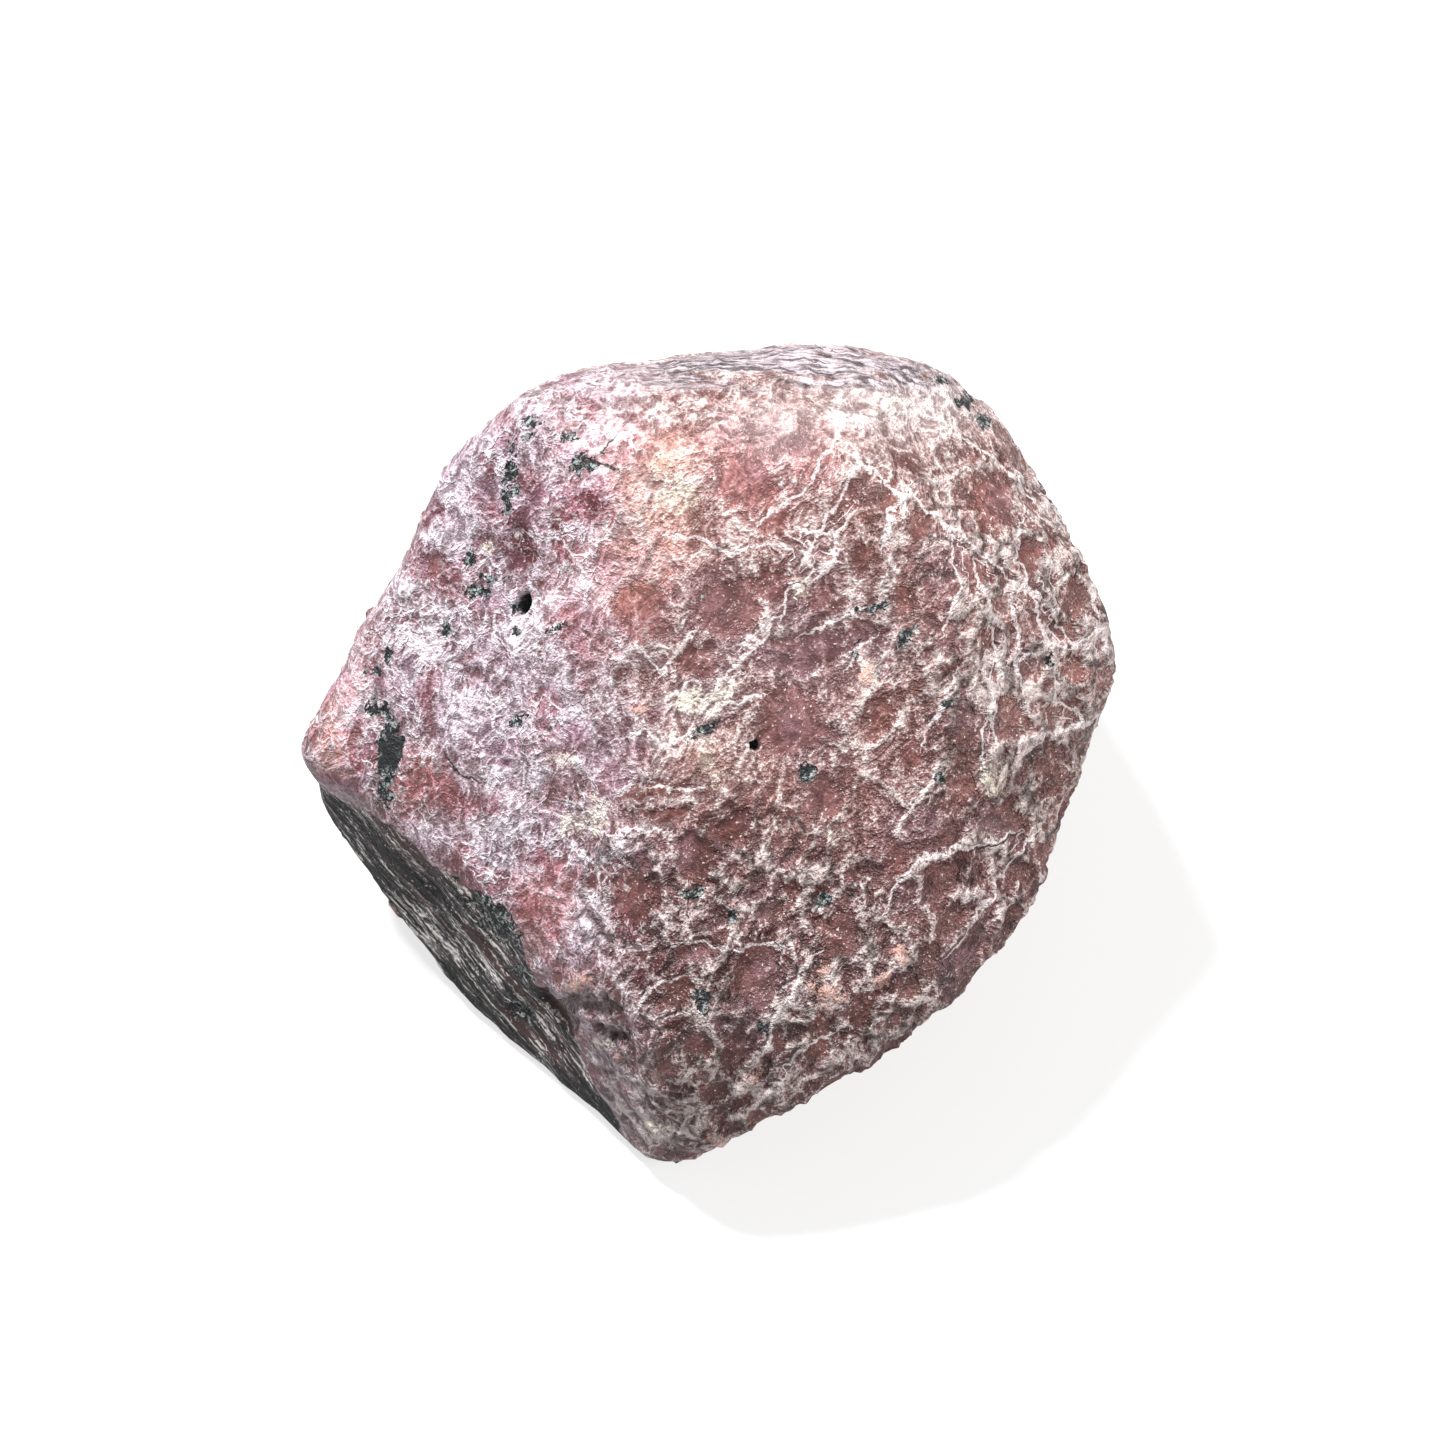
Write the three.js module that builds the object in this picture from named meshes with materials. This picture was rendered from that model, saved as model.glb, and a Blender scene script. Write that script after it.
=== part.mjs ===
// A rough ruby: one stubby six-sided corundum crystal, worn, ledged and pitted, lying where it came to rest on
// a broken face. Millimetres, +Z up, standing on z = 0, with X and Y measured from the middle of its outline.
// It grew in one piece, so it is one solid: flat crystal faces first, then the relief that is grown, worn or
// broken into them. The faces are placed about the crystal's own c axis, which leans out of the vertical
// towards -Y: its crown faces up and forwards, and its dark, sheared side faces forwards and to the left.
import * as THREE from "three";
import { ImprovedNoise } from "three/addons/math/ImprovedNoise.js";

// ---- Driving dimensions: millimetres and degrees ----
const C_AXIS_LEAN = 35; // between the c axis and the vertical
const REST_DEPTH = 15.2; // from the crystal's middle down to the broken face that it lies on
const EDGE_WEAR = 55; // power that joins the faces: a lower one wears the edges between them rounder
const MESH_DETAIL = 21; // divisions of each icosahedron side: 9,680 triangles, about 1.2 mm across

// Flat faces as [azimuth, tilt, distance]: the azimuth of the face's normal about the c axis from +X, the tilt
// of that normal from the c axis, and the distance of the face from the crystal's middle.
const FACES = {
  crown_left: [198, 30, 17],
  crown_front: [312, 8, 16.5],
  crown_right: [345, 33, 19.8],
  crown_low: [285, 30, 21.6],
  crown_back: [88, 42, 23.2],
  crown_back_right: [36, 39, 22.5],
  shoulder_right: [42, 62, 25.4],
  shoulder_back: [94, 70, 24],
  dark_side: [219.5, 64, 21.4],
  prism_left: [153.6, 92, 21.8],
  prism_left_back: [129, 92, 22],
  prism_back: [95, 92, 21.8],
  prism_back_high: [74, 90, 23.8],
  prism_back_right: [54, 90, 25.9],
  prism_right_back: [28, 90, 24.3],
  prism_corner_right: [12, 90, 25.1],
  prism_right: [342, 92, 22.4],
  prism_corner_low: [330, 92, 22.3],
  prism_right_low: [316, 92, 22.2],
  prism_low: [301, 92, 22.7],
  prism_dark_low: [231, 92, 27.6],
  prism_dark_high: [213.2, 92, 25.5],
  broken_back: [90, 125, 17.6],
  under_left: [178, 124, 23.6],
  under_back_left: [140, 136, 22],
  under_back: [96, 152, 19.4],
  under_back_right: [44, 134, 23.5],
  under_right: [2, 126, 24.6],
};

// Soft round swellings that stand out, and hollows and pits that sink in, as [azimuth, tilt, radius, height].
const SWELLINGS = {
  crown_bulge: [86, 34, 5.5, 0.55],
  shoulder_knob: [58, 72, 4, 0.7],
  left_step: [169, 74, 4, 0.6],
  left_shoulder: [176, 79, 3.4, 0.9],
  left_tip: [185, 81, 5, 2],
  dark_edge_lip: [243, 55, 3, 0.7],
  low_tip: [266, 84, 4.5, 0.7],
  low_right_knob: [308, 66, 3, 0.3],
};
const HOLLOWS = {
  middle_cluster: [217, 6, 3.6, -0.6],
  crown_bulge_foot: [84, 26, 2.8, -0.35],
  left_hollow: [146, 49, 4.4, -0.5],
  left_notch: [151, 68, 3.2, -0.4],
  left_pit: [154, 44, 1.5, -0.6],
  left_low_hollow: [222, 43, 4, -0.35],
  right_notch: [354, 71, 3, -0.5],
  right_back_notch: [34, 70, 4.6, -1.1],
  low_notch: [303, 64, 3, -0.6],
  dark_edge_notch: [253, 61, 3, -1],
  front_hollow: [26, 25, 4, -0.4],
  front_pit: [312, 11, 1.6, -0.5],
  low_hollow: [277, 48, 3.2, -0.45],
};

// Relief that covers the whole crystal.
const LUMPS = { across: 10, height: 0.5 };
const RIPPLES = { across: 4.6, height: 0.24 };
const LEDGES = { across: 13, perHeight: 3, height: 0.55, riser: 0.3 };
const SCALLOPS = { apart: 3.4, depth: 0.27, tries: 4000 };
const SHEAR_STEPS = { across: 3.4, along: 16, height: 0.6, spread: 30 };

// ---- The flat faces ----
const radians = THREE.MathUtils.degToRad;

function directionOf(azimuth, tilt) {
  return new THREE.Vector3(
    Math.sin(radians(tilt)) * Math.cos(radians(azimuth)),
    Math.sin(radians(tilt)) * Math.sin(radians(azimuth)),
    Math.cos(radians(tilt)),
  );
}

const faces = Object.values(FACES).map(([azimuth, tilt, distance]) => ({
  normal: directionOf(azimuth, tilt),
  distance,
}));

// The point where a direction from the crystal's middle meets its worn flat faces.
function pointOnFaces(direction) {
  let sum = 0;
  for (const { normal, distance } of faces) {
    sum += Math.max(0, normal.dot(direction) / distance) ** EDGE_WEAR;
  }
  return direction.clone().multiplyScalar(sum ** (-1 / EDGE_WEAR));
}

// ---- The relief: each function gives a height above the flat faces at a point on them ----
const noise = new ImprovedNoise();

function noiseAt(point, across, seed) {
  return noise.noise(point.x / across + seed, point.y / across + seed, point.z / across + seed);
}

// Growth steps: the height of a slow swell, rounded to flat treads with short risers between them.
function ledges(point) {
  const swell = noiseAt(point, LEDGES.across, 37.4) * LEDGES.perHeight;
  const tread = Math.floor(swell);
  const riser = THREE.MathUtils.smoothstep(swell - tread, 1 - LEDGES.riser, 1);
  return ((tread + riser) / LEDGES.perHeight) * LEDGES.height;
}

// Scallops: shallow worn cells with crests between them. Their middles are taken in turn from directions that
// spread evenly over the crystal, each one kept if it isn't too near to those before it.
const scallopMiddles = [];
for (let i = 1; i <= SCALLOPS.tries; i += 1) {
  const height = 1 - 2 * ((i * 0.7548777) % 1);
  const turn = 2 * Math.PI * ((i * 0.5698403) % 1);
  const radius = Math.sqrt(1 - height * height);
  const middle = pointOnFaces(new THREE.Vector3(radius * Math.cos(turn), radius * Math.sin(turn), height));
  if (scallopMiddles.every((other) => other.distanceTo(middle) > SCALLOPS.apart)) {
    scallopMiddles.push(middle);
  }
}

function scallops(point) {
  let nearest = Infinity;
  let second = Infinity;
  for (const middle of scallopMiddles) {
    const distance = middle.distanceTo(point);
    second = Math.min(second, Math.max(distance, nearest));
    nearest = Math.min(nearest, distance);
  }
  return -SCALLOPS.depth * (1 - (nearest / second) ** 2);
}

// Shear steps: long ridges that run along the dark side, square to the c axis, and die out away from it.
const [darkAzimuth, darkTilt] = FACES.dark_side;
const darkNormal = directionOf(darkAzimuth, darkTilt);
const darkAlong = directionOf(darkAzimuth + 90, 90);
const darkAcross = new THREE.Vector3().crossVectors(darkNormal, darkAlong);

function shearSteps(point, direction) {
  const away = THREE.MathUtils.radToDeg(direction.angleTo(darkNormal));
  const strength = 1 - THREE.MathUtils.smoothstep(away, SHEAR_STEPS.spread * 0.6, SHEAR_STEPS.spread);
  const ridge = noise.noise(
    point.dot(darkAcross) / SHEAR_STEPS.across,
    point.dot(darkAlong) / SHEAR_STEPS.along,
    5.3,
  );
  return SHEAR_STEPS.height * strength * ridge;
}

const swellings = [...Object.values(SWELLINGS), ...Object.values(HOLLOWS)].map(
  ([azimuth, tilt, radius, height]) => ({
    middle: pointOnFaces(directionOf(azimuth, tilt)),
    radius,
    height,
  }),
);

function swellingsAndHollows(point) {
  let total = 0;
  for (const { middle, radius, height } of swellings) {
    const nearness = Math.max(0, 1 - middle.distanceToSquared(point) / radius ** 2);
    total += height * nearness ** 2;
  }
  return total;
}

// ---- The crystal: a fine ball, each point of it moved out to the faces and then by the relief ----
const geometry = new THREE.IcosahedronGeometry(1, MESH_DETAIL);
geometry.deleteAttribute("normal");
geometry.deleteAttribute("uv");
const position = geometry.getAttribute("position");
const direction = new THREE.Vector3();
const X_AXIS = new THREE.Vector3(1, 0, 0);
for (let i = 0; i < position.count; i += 1) {
  direction.fromBufferAttribute(position, i).normalize();
  const point = pointOnFaces(direction);
  const relief =
    LUMPS.height * noiseAt(point, LUMPS.across, 11.7) +
    RIPPLES.height * noiseAt(point, RIPPLES.across, 23.1) +
    ledges(point) +
    scallops(point) +
    shearSteps(point, direction) +
    swellingsAndHollows(point);
  point.addScaledVector(direction, relief);

  // Lean it over, and cut it straight across where it broke, so that it lies on a flat face.
  point.applyAxisAngle(X_AXIS, radians(C_AXIS_LEAN));
  if (point.z < -REST_DEPTH) {
    point.multiplyScalar(REST_DEPTH / -point.z);
    point.z = -REST_DEPTH;
  }
  position.setXYZ(i, point.x, point.y, point.z + REST_DEPTH);
}

geometry.computeBoundingBox();
const middle = geometry.boundingBox.getCenter(new THREE.Vector3());
geometry.translate(-middle.x, -middle.y, 0);

const rubyStone = new THREE.MeshStandardMaterial({ color: 0x9c7476, roughness: 0.6, metalness: 0 });
const ruby = new THREE.Mesh(geometry, rubyStone);
ruby.name = "ruby_crystal";

const group = new THREE.Group();
group.add(ruby);
export default group;
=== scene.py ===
import math

import bmesh
import bpy
import numpy as np
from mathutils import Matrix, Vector, noise


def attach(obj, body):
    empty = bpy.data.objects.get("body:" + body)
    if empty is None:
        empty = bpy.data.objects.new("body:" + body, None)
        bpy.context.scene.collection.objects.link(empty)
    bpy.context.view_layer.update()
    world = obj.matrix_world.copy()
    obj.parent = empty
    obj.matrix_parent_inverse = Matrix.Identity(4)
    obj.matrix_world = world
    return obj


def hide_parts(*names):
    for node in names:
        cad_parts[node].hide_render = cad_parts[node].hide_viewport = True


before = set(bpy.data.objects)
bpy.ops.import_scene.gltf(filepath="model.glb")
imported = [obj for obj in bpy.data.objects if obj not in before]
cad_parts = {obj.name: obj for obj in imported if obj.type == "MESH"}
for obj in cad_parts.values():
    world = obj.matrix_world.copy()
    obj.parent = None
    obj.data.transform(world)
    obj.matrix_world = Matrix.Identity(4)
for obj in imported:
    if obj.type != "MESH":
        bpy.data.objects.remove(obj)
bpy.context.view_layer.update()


# The view. The camera looks down on the stone along its c axis, which leans out of the vertical towards the
# camera, so it faces the crown. The frame is square, 1445 across, and marks on the stone are placed in it.
FRAME_WIDTH = 1445
ELEVATION = math.radians(55)
CRYSTAL_MIDDLE = Vector((0.00036, -0.00228, 0.02003))
AIM_RIGHT = 0.0009
AIM_UP = 0.0021
DISTANCE = 0.1734
LENS = 70
SENSOR = 36

camera_right = Vector((1, 0, 0))
camera_up = Vector((0, math.sin(ELEVATION), math.cos(ELEVATION)))
camera_back = Vector((0, -math.cos(ELEVATION), math.sin(ELEVATION)))
aim = CRYSTAL_MIDDLE + AIM_RIGHT * camera_right + AIM_UP * camera_up

camera = bpy.data.objects.new("camera", bpy.data.cameras.new("camera"))
camera.data.lens = LENS
camera.data.sensor_width = SENSOR
camera.data.clip_start = 0.01
camera.location = aim + DISTANCE * camera_back
camera.rotation_euler = (math.pi / 2 - ELEVATION, 0, 0)
bpy.context.scene.collection.objects.link(camera)
bpy.context.scene.camera = camera


# The ruby. One opaque, rough corundum crystal: brownish rose glassy cells between raised, frosted crests,
# black and green mica, cream and salmon grains, and one dark, streaked side where it sheared from its rock.
# Its mesh is the solid's, divided finely, smoothed, then raised and pitted by the noises that colour it.
MM = 0.001
TOUCHING = 0.001 * MM
EDGE_CUTS = 3
SMOOTHING_ROUNDS = 14

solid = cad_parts["ruby_crystal"]
ruby_mesh = bpy.data.meshes.new("ruby_stone")
divided = bmesh.new()
divided.from_mesh(solid.data)
bmesh.ops.remove_doubles(divided, verts=divided.verts, dist=TOUCHING)
bmesh.ops.triangulate(divided, faces=divided.faces)
bmesh.ops.subdivide_edges(divided, edges=divided.edges, cuts=EDGE_CUTS, use_grid_fill=True)
bmesh.ops.triangulate(divided, faces=divided.faces)
divided.to_mesh(ruby_mesh)
divided.free()
ruby_mesh.shade_smooth()
ruby = bpy.data.objects.new("ruby_stone", ruby_mesh)
bpy.context.scene.collection.objects.link(ruby)

place = np.empty(len(ruby_mesh.vertices) * 3, np.float32)
ruby_mesh.vertices.foreach_get("co", place)
place = place.reshape(-1, 3).astype(float)
ends = np.empty(len(ruby_mesh.edges) * 2, np.int32)
ruby_mesh.edges.foreach_get("vertices", ends)
start, stop = ends.reshape(-1, 2).T
neighbours = np.bincount(start, minlength=len(place)) + np.bincount(stop, minlength=len(place))
on_base = place[:, 2] < TOUCHING
for _ in range(SMOOTHING_ROUNDS):
    around = np.zeros_like(place)
    for axis in range(3):
        around[:, axis] += np.bincount(start, place[stop, axis], len(place))
        around[:, axis] += np.bincount(stop, place[start, axis], len(place))
    place = (place + around / neighbours[:, None]) / 2
    place[on_base, 2] = 0
ruby_mesh.vertices.foreach_set("co", place.astype(np.float32).ravel())
ruby_mesh.update()
outward = np.empty(len(place) * 3, np.float32)
ruby_mesh.vertex_normals.foreach_get("vector", outward)
outward = outward.reshape(-1, 3).astype(float)


# Where each point of the stone shows in the frame, shaken a little so that no mark has a drawn outline, and
# how squarely it faces the camera. Marks fade out where the stone turns away.
SHAKE = 6
SHAKE_ACROSS = 1.6
TURNED_AWAY = -0.05
TURNING_FADE = 0.15
LINE_REACH = 1.04
LINE_FADE = 0.8

right, up, back = (np.array(axis) for axis in (camera_right, camera_up, camera_back))
offset = place - np.array(aim)
nearness = FRAME_WIDTH * LENS / SENSOR / (DISTANCE - offset @ back)


def soft_noise(across, seed):
    """A number from -1 to 1 for each point of the stone, in soft lumps that are so many mm across."""
    shift = Vector((seed, -seed, 2 * seed))
    return np.array([noise.noise(Vector(point) / (across * MM) + shift) for point in place])


frame_x = FRAME_WIDTH / 2 + nearness * (offset @ right) + SHAKE * soft_noise(SHAKE_ACROSS, seed=3.3)
frame_y = FRAME_WIDTH / 2 - nearness * (offset @ up) + SHAKE * soft_noise(SHAKE_ACROSS, seed=11.9)
to_camera = np.array(camera.location) - place
facing = np.einsum("ij,ij->i", outward, to_camera) / np.linalg.norm(to_camera, axis=1)
shown = np.clip((facing - TURNED_AWAY) / TURNING_FADE, 0, 1)
hidden = 1 - shown


def step(value, low, high):
    """0 below low, 1 above high, and a smooth rise between them."""
    share = np.clip((value - low) / (high - low), 0, 1)
    return share * share * (3 - 2 * share)


def patches(*ellipses, reach=2.0):
    """How far inside the ellipses (x, y, half width, half height, tilt) each point is: 1 in the middle of
    one, and 0 where it would end if it were drawn reach times as large."""
    most = np.zeros(len(place))
    for x, y, half_width, half_height, *tilt in ellipses:
        turn = math.radians(tilt[0] if tilt else 0)
        dx, dy = frame_x - x, frame_y - y
        along = (dx * math.cos(turn) - dy * math.sin(turn)) / half_width
        across = (dx * math.sin(turn) + dy * math.cos(turn)) / half_height
        most = np.maximum(most, 1 - np.hypot(along, across) / reach)
    return most * shown


def lines(*paths):
    """The distance in mm to the nearest path, signed by its side, and a nearness from 1 to 0."""
    nearest = np.full(len(place), np.inf)
    side = np.ones(len(place))
    for path in paths:
        for (x0, y0), (x1, y1) in zip(path, path[1:]):
            length = math.hypot(x1 - x0, y1 - y0)
            ux, uy = (x1 - x0) / length, (y1 - y0) / length
            along = np.clip((frame_x - x0) * ux + (frame_y - y0) * uy, 0, length)
            distance = np.hypot(frame_x - x0 - along * ux, frame_y - y0 - along * uy) / (nearness * MM)
            closer = distance < nearest
            nearest = np.where(closer, distance, nearest)
            side = np.where(closer, np.sign((frame_x - x0) * uy - (frame_y - y0) * ux), side)
    return nearest * side, np.clip((LINE_REACH - nearest) / LINE_FADE, 0, 1) * shown


def keep(name, values):
    """Store one number for each point of the stone, for its relief and its material."""
    numbers = ruby_mesh.attributes.new(name, "FLOAT", "POINT").data
    numbers.foreach_set("value", np.asarray(values, np.float32))


# The faces of the stone that look different, from 0 to 1. The dark side is the sheared face below its edge,
# which is given as points from left to right, and the layered strip is the face along the top. On the sides
# that the frame doesn't show, both go by the way that the surface faces.
DARK_EDGE = [
    (304, 762), (337, 796), (375, 813), (403, 832), (431, 857), (462, 877), (494, 898), (516, 934),
    (537, 977), (559, 1009), (575, 1040), (590, 1071), (612, 1109), (631, 1143), (653, 1165)]
DARK_END = 665
DARK_DIRECTION = -0.73 * right - 0.66 * up
EDGE_ROUNDS = 8
PALE_STREAKS = [(420, 935, 40, 14, -58), (575, 1052, 34, 8, -48), (631, 1115, 26, 8, -45)]
BROWN_EDGE = [(412, 850, 44, 9, -40), (575, 1020, 34, 10, -52)]
STRIP_TOP = 392
STRIP_START = (600, 680)
LEFT_FACE_END = 630
LEFT_FACE_FADE = 60
RIGHT_FACE_START = (1080, 1220)
LOW_FACE_START = (600, 680)
LOW_FACE_TOP = (820, 900)
LOW_HALF_TOP = (730, 820)

edge_x, edge_y = np.array(DARK_EDGE, float).T
dark_side = step(frame_y - np.interp(frame_x, edge_x, edge_y), -2, 8) * step(DARK_END - frame_x, 0, 30)
dark_side = np.maximum(dark_side * shown, hidden * step(outward @ DARK_DIRECTION, 0.55, 0.75))
for _ in range(EDGE_ROUNDS):
    around = np.bincount(start, dark_side[stop], len(place))
    around += np.bincount(stop, dark_side[start], len(place))
    dark_side = (dark_side + around / neighbours) / 2
layered = step(STRIP_TOP - frame_y, -6, 12) * shown * step(frame_x, *STRIP_START)
layered = np.maximum(layered, 0.6 * hidden * step(outward @ up, 0.6, 0.8))
left_face = step(LEFT_FACE_END - frame_x, -LEFT_FACE_FADE, LEFT_FACE_FADE) * shown
right_face = step(frame_x + 0.4 * frame_y, *RIGHT_FACE_START) * shown
low_face = step(frame_y, *LOW_FACE_TOP) * step(frame_x, *LOW_FACE_START) * shown
keep("dark_side", dark_side)
keep("pale_streaks", patches(*PALE_STREAKS, reach=1.6))
keep("brown_edge", patches(*BROWN_EDGE, reach=1.6))
keep("layered", layered)
keep("lilac_frost", left_face)

# Glassy cells that the crests leave bare, each an ellipse: x, y, half its width and height, and its tilt.
RIGHT_CELLS = [
    (890, 503, 9, 20), (919, 528, 12, 16), (958, 555, 14, 12), (975, 574, 9, 16), (992, 503, 20, 28),
    (1027, 558, 13, 16), (1075, 598, 14, 16), (1031, 612, 14, 24), (1004, 608, 10, 14),
    (1061, 635, 14, 12), (944, 635, 10, 16), (986, 635, 12, 10), (1034, 668, 10, 12),
    (1073, 668, 12, 14), (1104, 674, 8, 10), (1060, 716, 17, 13, 20), (969, 728, 20, 20),
    (1008, 720, 16, 20), (911, 755, 10, 18, -15), (961, 776, 16, 26), (1000, 820, 24, 16),
    (1052, 770, 18, 22), (823, 799, 18, 18), (942, 874, 16, 13, 30), (893, 862, 13, 24, -15),
    (838, 934, 20, 24), (1021, 874, 10, 8), (1044, 853, 10, 12), (950, 920, 22, 10, 35),
    (1013, 913, 8, 8), (862, 560, 12, 18, -20), (845, 500, 12, 18, -20), (905, 600, 14, 14),
    (880, 720, 14, 20, -20)]
LOW_CELLS = [
    (760, 973, 21, 36), (677, 990, 15, 24, -25), (697, 1043, 12, 14), (663, 1073, 14, 13),
    (717, 1117, 10, 7), (713, 1090, 15, 9), (763, 1118, 14, 8), (820, 1037, 12, 24, -10),
    (777, 1037, 9, 12), (770, 910, 13, 10), (793, 890, 10, 8), (697, 857, 20, 24), (600, 877, 18, 22),
    (630, 893, 26, 38), (693, 953, 22, 9, 15), (640, 790, 28, 12), (660, 815, 30, 8),
    (735, 830, 22, 18), (860, 1010, 12, 18, -30), (905, 985, 14, 12), (850, 1080, 24, 8, 20),
    (930, 960, 12, 14), (735, 1050, 12, 18, -20)]
MIDDLE_CELLS = [
    (790, 722, 32, 34), (805, 650, 34, 22, 15), (744, 480, 26, 32), (730, 610, 30, 26),
    (770, 585, 20, 16), (640, 610, 30, 30), (700, 660, 20, 16), (825, 600, 18, 14), (855, 640, 12, 16),
    (775, 520, 14, 16)]
LEFT_CELLS = [
    (519, 536, 10, 14), (504, 568, 8, 16), (531, 556, 8, 12), (434, 564, 16, 16),
    (418, 775, 14, 18, -30), (375, 640, 8, 14), (590, 500, 14, 10), (480, 540, 8, 12),
    (470, 680, 16, 14), (490, 760, 18, 12)]
bare = patches(*RIGHT_CELLS, *LOW_CELLS, *MIDDLE_CELLS, *LEFT_CELLS)
keep("bare", bare * (1 - 0.25 * left_face))

# How thick the frosting lies, how strong the crests are, and where the cells are small. On the left face
# the frosting leaves glassy rose patches.
BRIGHT_PATCHES = [
    (426, 640, 20, 18), (910, 405, 90, 20), (604, 442, 18, 8, 25), (472, 474, 8, 8), (487, 546, 7, 8),
    (420, 642, 16, 15), (520, 632, 32, 14), (472, 692, 14, 24), (454, 489, 14, 10), (436, 537, 16, 8),
    (560, 660, 20, 12), (456, 677, 14, 12), (519, 830, 30, 12), (581, 536, 20, 12), (581, 583, 8, 14),
    (566, 761, 16, 10), (600, 817, 14, 14), (990, 777, 12, 14), (852, 655, 10, 16),
    (905, 662, 10, 22, -15), (870, 700, 12, 12), (665, 496, 22, 22), (595, 920, 14, 24, -15),
    (690, 700, 26, 10), (720, 780, 20, 10), (655, 740, 26, 8), (1000, 400, 40, 14),
    (795, 925, 36, 9, 65), (782, 1000, 36, 8, 60), (865, 1040, 36, 7, 30), (728, 1074, 20, 10, 40),
    (655, 1120, 30, 18), (588, 930, 11, 34), (1012, 770, 20, 24), (575, 678, 28, 20),
    (562, 765, 30, 18), (426, 820, 28, 15, -40), (768, 868, 30, 14), (868, 816, 24, 12)]
SMOOTH_PATCHES = [
    (340, 715, 22, 60), (650, 540, 50, 60), (745, 480, 36, 40), (800, 722, 36, 36), (730, 610, 50, 36),
    (420, 860, 40, 12, -40), (519, 545, 26, 44), (588, 498, 32, 22), (432, 566, 28, 22),
    (360, 640, 14, 22), (350, 690, 18, 50, -25), (590, 500, 34, 22), (540, 690, 60, 24, 30),
    (420, 780, 40, 20, 50)]
PALE_SMOOTH_PATCHES = [(810, 412, 140, 36)]
THIN_PATCHES = [
    (690, 870, 90, 80), (790, 430, 90, 34), (590, 502, 26, 18), (565, 425, 56, 26), (522, 552, 32, 42),
    (795, 720, 34, 34), (680, 436, 50, 30), (592, 500, 30, 20), (495, 665, 22, 40),
    (420, 690, 32, 18, 30), (436, 562, 20, 18), (620, 740, 30, 26), (420, 785, 26, 30),
    (573, 789, 22, 14), (626, 966, 30, 40), (1012, 722, 20, 18), (964, 570, 26, 20), (768, 774, 26, 16),
    (670, 722, 18, 12), (866, 520, 20, 18), (815, 475, 24, 16), (622, 455, 24, 26)]
RIGHT_MIDDLE = (790, 640, 130, 120)
LOW_TIP = (690, 1120, 100, 50)
DARK_WEDGE = (630, 966, 30, 42)
SMALL_CELLS = [(740, 930, 130, 110), (700, 1080, 90, 60), (850, 1000, 90, 60), (640, 900, 60, 60)]
SMALL_CELLS_START = (860, 980)
SMALL_CELLS_TOP = (440, 540)
bright = patches(*BRIGHT_PATCHES, reach=1.6)
glassy = step(soft_noise(2.4, seed=5.7), 0.02, 0.26) * left_face * (1 - bright)
frost = 0.79 + 0.27 * left_face - 0.08 * right_face - 0.33 * low_face
frost += 0.42 * bright + 0.4 * patches(LOW_TIP, reach=1.6)
frost -= 0.3 * patches(*SMOOTH_PATCHES, reach=1.6) + 0.4 * patches(*THIN_PATCHES, reach=1.6)
frost -= 0.24 * patches(RIGHT_MIDDLE, reach=1.6) + 0.4 * patches(DARK_WEDGE, reach=1.5)
frost -= 0.23 * step(frame_y, *LOW_HALF_TOP) * shown + 0.36 * glassy
keep("frost", frost)
keep("smooth", patches(*SMOOTH_PATCHES, *PALE_SMOOTH_PATCHES, reach=1.6))
keep("crests", 0.4 + 0.5 * right_face + 0.9 * low_face * (1 - 0.6 * right_face) + 0.3 * hidden)
to_the_right = step(frame_x - 0.2 * (frame_y - 700), *SMALL_CELLS_START)
to_the_right = to_the_right * (0.3 + 0.7 * step(frame_y, *SMALL_CELLS_TOP)) * shown
keep("small_cells", np.maximum(to_the_right, step(patches(*SMALL_CELLS, reach=1.5), 0.05, 0.3)))

# Grains of other minerals, black and green mica, cream and salmon, and the holes and undercut ledges.
MICA = [
    (386, 728, 6, 12), (391, 750, 11, 18), (388, 774, 9, 13), (383, 796, 6, 12), (382, 710, 4, 10),
    (370, 707, 6, 11), (387, 655, 4, 14), (375, 674, 8, 6), (522, 608, 9, 11), (512, 475, 7, 22, 8),
    (505, 500, 6, 12), (530, 421, 10, 6), (534, 436, 9, 4), (566, 439, 10, 5), (585, 465, 12, 9),
    (472, 560, 5, 8), (478, 592, 9, 10), (490, 578, 12, 4), (444, 630, 4, 7), (516, 630, 4, 4),
    (550, 628, 7, 4), (519, 721, 8, 5), (706, 730, 14, 6, 35), (808, 772, 9, 7), (904, 638, 8, 13, -15),
    (868, 608, 20, 4, 18), (857, 655, 3, 10), (946, 702, 5, 5), (939, 774, 4, 8), (1051, 658, 5, 7),
    (700, 1000, 8, 11), (621, 1037, 9, 5), (733, 915, 9, 7), (690, 890, 14, 5), (826, 902, 9, 6),
    (760, 1028, 7, 7), (966, 402, 9, 6, -30), (982, 421, 9, 5, -35), (942, 380, 9, 5),
    (490, 915, 36, 12, -42), (519, 975, 14, 7, -50), (519, 1009, 13, 7, -30)]
CREAM = [
    (677, 495, 17, 24), (662, 468, 10, 10), (704, 755, 13, 18), (692, 702, 10, 12), (724, 690, 11, 9),
    (718, 776, 10, 9), (800, 582, 9, 12), (597, 816, 14, 18), (840, 835, 12, 10), (992, 780, 10, 13),
    (867, 670, 9, 8), (880, 682, 6, 6), (487, 546, 7, 7), (566, 761, 14, 6), (572, 826, 20, 8),
    (655, 1128, 10, 8), (600, 1045, 10, 5)]
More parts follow.
